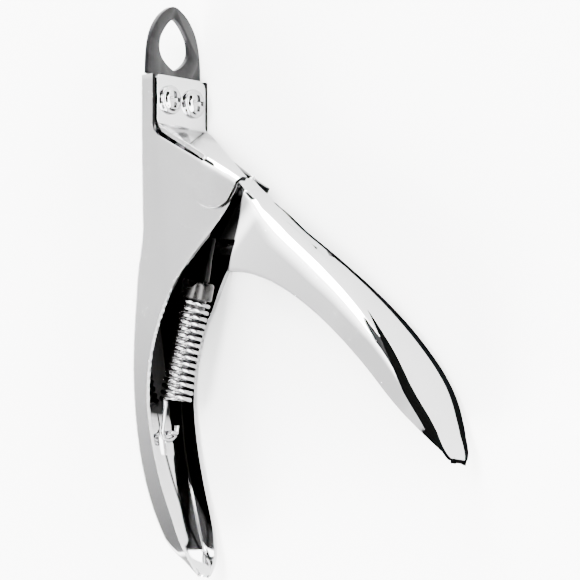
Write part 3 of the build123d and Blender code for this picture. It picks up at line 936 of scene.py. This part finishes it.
def plating_with_painted_shade():
    """Each bright sheet's chrome, with painted shade and painted dark reflections: outside, inside if it has
    its own, cut edges and shaded faces.
    """
    up, across, near, fold = (0, 1, 0), (1, 0, 0), (0, 0, 1), (0.5, -0.85, 0)
    cheek, crease = (1, -CHEEK_LEAN, 0), (0, -0.16, 1)
    grip_end, far_side = (up, -80, -85), ((-0.75, -0.41, 1), 31.3, 32.3)
    # painted reflection and painted shade on the fixed handle: the outside darkens down the grip below y -55
    # and is dark at the tip, the inside is dark except near the grip's end, and the cut edges are dark above
    # y -44
    body = chrome_with_painted_reflections("chrome_body", [[(up, -125, -55), (up, -116, -110)]], 0.03, 0.02)
    body_inside_painted_shade = chrome_with_painted_reflections("body_inside_painted_shade", [[grip_end, far_side, (crease, 14.0, 14.6)],
                                        [grip_end, far_side, (crease, 13.6, 13.0)]], 0.06)
    body_edge = chrome_with_painted_reflections("body_edge", [[(up, -44, -56)]], 0.12)
    # painted shade on the moving handle: the cheek side below y -29 is dark, the inside is dark between y -33
    # and -92, the cut edges between y -33 and -56, and bend_shade is painted shade on the faces picked out by
    # shaded
    lever = chrome_with_painted_reflections("chrome_lever", [[(cheek, CHEEK_LINE - 0.3, CHEEK_LINE + 0.3)], [(up, -31, -29)]], 0.03)
    lever_inside_painted_shade = chrome_with_painted_reflections("lever_inside_painted_shade", [[(up, -84, -92)], [(up, -36, -33)]], 0.06)
    lever_edge = chrome_with_painted_reflections("lever_edge", [[(up, -44, -56)], [(up, -36, -33)]], 0.12)
    bend_shade = painted_shade_matt("bend_shade", 0.0004, 0.0009)
    # painted shade: a dark band in the concave bend between the front and the arm, and dark cut edges beyond
    # x 18.5 round the ear
    cover = chrome_with_painted_reflections("chrome_cover", [[(fold, 13.5, 12.7)], [(fold, 16.4, 19.0)], [(near, 5.4, 7.2)]], 0.03)
    cover_edge_painted_shade = chrome_with_painted_reflections("cover_edge_painted_shade", [[(across, 20.5, 18.5)]], 0.12)
    return {"fixed_handle": [body, body_inside_painted_shade, body_edge],
            "moving_handle": [lever, lever_inside_painted_shade, lever_edge, bend_shade],
            "cover_plate": [cover, cover_edge_painted_shade]}


def steels():
    """Finishes of the plain steel pieces; the drive arm, pins and link are painted near black as shade."""
    screw_steel = metal("screw_steel", (0.24, 0.24, 0.244), (0.34, 0.34, 0.344), (0.05, 0.14), 400, 3000, 0.1)
    dark_steel = metal("dark_steel", (0.0070, 0.0070, 0.0073), (0.0112, 0.0110, 0.0115), (0.36, 0.5),
                       500, 5000, 0.3)
    blade_steel = metal("blade_steel", (0.45, 0.45, 0.46), (0.6, 0.6, 0.61), (0.2, 0.35), 300, 2500, 0.4,
                        (1, 0.05, 1))
    # painted shade: a near-black steel, far darker than bare steel, for the parts that sit in the channel's
    # shade
    plain_steel = metal("plain_steel", (0.0022, 0.0022, 0.0022), (0.005, 0.005, 0.005), (0.12, 0.25),
                        300, 2500, 0.3)
    spring_steel = metal("spring_steel", (0.20, 0.20, 0.204), (0.30, 0.30, 0.304), (0.16, 0.24),
                         500, 3000, 0.15)
    plug_steel = metal("plug_steel", (0.016, 0.0157, 0.0155), (0.03, 0.0293, 0.029), (0.25, 0.35),
                       350, 2500, 0.2)
    return {"cover_screws": [screw_steel], "cutting_ring": [dark_steel], "cutting_blade": [blade_steel],
            "drive_arm": [plain_steel], "pivot_pin": [plain_steel], "link_pin": [plain_steel],
            "spring_link": [plain_steel], "spring_plug": [plug_steel], "return_spring": [spring_steel]}


def add_materials(pieces):
    """Paints the pieces, and the nodes that are shown as they came."""
    for name, materials in {**plating_with_painted_shade(), **steels()}.items():
        shown = pieces.get(name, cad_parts[name])
        paint(shown, materials)


# ---- camera -------------------------------------------------------------------------------------------
TOWARD = Vector((0.6443, -0.1409, 0.7517))       # from the piece to the camera
UP = Vector((0.0917, 0.9900, 0.1070))            # up in the picture
RIGHT = UP.cross(TOWARD)
VIEW_WIDTH, DISTANCE, SENSOR = 0.1381, 5.0, 36
PICTURE_MIDDLE = (29.24, -50.1)                  # mm along RIGHT and UP


def add_camera():
    """A camera far off with a long lens, so that the view is nearly parallel."""
    data = bpy.data.cameras.new("camera")
    camera = add_to_scene("camera", data)
    data.sensor_width = SENSOR
    data.lens = SENSOR * DISTANCE / VIEW_WIDTH
    data.clip_end = 20
    middle = ORIGIN + (RIGHT * PICTURE_MIDDLE[0] + UP * PICTURE_MIDDLE[1]) * MM
    basis = Matrix((RIGHT, UP, TOWARD)).transposed().to_4x4()
    camera.matrix_world = Matrix.Translation(middle + TOWARD * DISTANCE) @ basis
    bpy.context.scene.camera = camera


# ---- floor and light ----------------------------------------------------------------------------------
FLOOR_SIZE, CARD_DISTANCE, TENT_LIGHT = 8, 7.0, 42.0
PAPER_ROUGH = 0.9


def paper(name, tone):
    """Plain studio card with a faint fibre in its tone."""
    nodes, links, shader, material = new_material(name)
    fibre = pattern(nodes, links, 900)
    dark, light = tone * 0.99, min(tone * 1.01, 1)
    links.new(tinted(nodes, links, fibre, (dark,) * 3, (light,) * 3), shader.inputs["Base Color"])
    shader.inputs["Roughness"].default_value = PAPER_ROUGH
    shader.inputs["Specular IOR Level"].default_value = 0.1
    return material


def graded_paper(name, dark, light, low, high):
    """Studio card whose tone rises along Y between two places, in metres."""
    nodes, links, shader, material = new_material(name)
    place = nodes.new("ShaderNodeTexCoord")
    split = nodes.new("ShaderNodeSeparateXYZ")
    links.new(place.outputs["Object"], split.inputs["Vector"])
    rise = ramp(nodes, links, split.outputs["Y"], low, high, 0, 1)
    links.new(tinted(nodes, links, rise, (dark,) * 3, (light,) * 3), shader.inputs["Base Color"])
    shader.inputs["Roughness"].default_value = PAPER_ROUGH
    return material


def card(name, centre, facing, side, material):
    """A flat square card facing a point, with places and side in metres."""
    centre = Vector(centre)
    turn = (Vector(facing) - centre).to_track_quat("Z", "Y").to_matrix()
    corners = [centre + turn @ Vector((a * side / 2, b * side / 2, 0)) for a, b in SQUARE]
    mesh = bpy.data.meshes.new(name)
    mesh.from_pydata(corners, [], [(0, 1, 2, 3)])
    mesh.materials.append(material)
    add_to_scene(name, mesh)


def far_card(name, direction, half_angle, material):
    """A card well beyond the camera, given by the direction it is seen in from the piece."""
    side = 2 * CARD_DISTANCE * sin(radians(half_angle)) / cos(radians(half_angle))
    card(name, Vector(direction).normalized() * CARD_DISTANCE, (0, 0, 0), side, material)


def add_world():
    """Even, nearly white light from all round."""
    world = bpy.data.worlds.new("studio")
    world.use_nodes = True
    background = world.node_tree.nodes["Background"]
    background.inputs["Color"].default_value = (1.0, 0.995, 0.99, 1)
    background.inputs["Strength"].default_value = TENT_LIGHT
    bpy.context.scene.world = world


def add_studio():
    """A white tent with a pale floor, a grey card to the left and four dark cards on the other sides."""
    card("floor", (0, 0, 0), (0, 0, 1), FLOOR_SIZE, paper("floor_paper", 0.9))
    add_world()
    far_card("grey_card", (-0.66, 0.26, 0.70), 44, graded_paper("grey_paper", 0.041, 0.38, 1.3, 6.5))
    black = paper("black_paper", 0.0006)
    far_card("camera_card", (0.6443, -0.05, 0.75), 20, black)
    far_card("side_card", (0.481, 0.740, 0.469), 27, black)
    far_card("upper_card", (0.02, -0.52, 0.85), 20, black)
    far_card("lower_card", (0.32, -0.85, 0.40), 22, black)


# ---- build --------------------------------------------------------------------------------------------
def build():
    """Makes every piece, paints it, and bakes the coil's placing into its mesh."""
    pieces = {"fixed_handle": build_fixed_handle(), "moving_handle": build_moving_handle(),
              "cover_plate": build_cover(), "cutting_ring": build_ring(), "cover_screws": build_screws(),
              "return_spring": build_spring(), "spring_plug": build_plug(), "spring_link": build_link()}
    add_materials(pieces)
    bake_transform(pieces["return_spring"])


build()
add_camera()
add_studio()
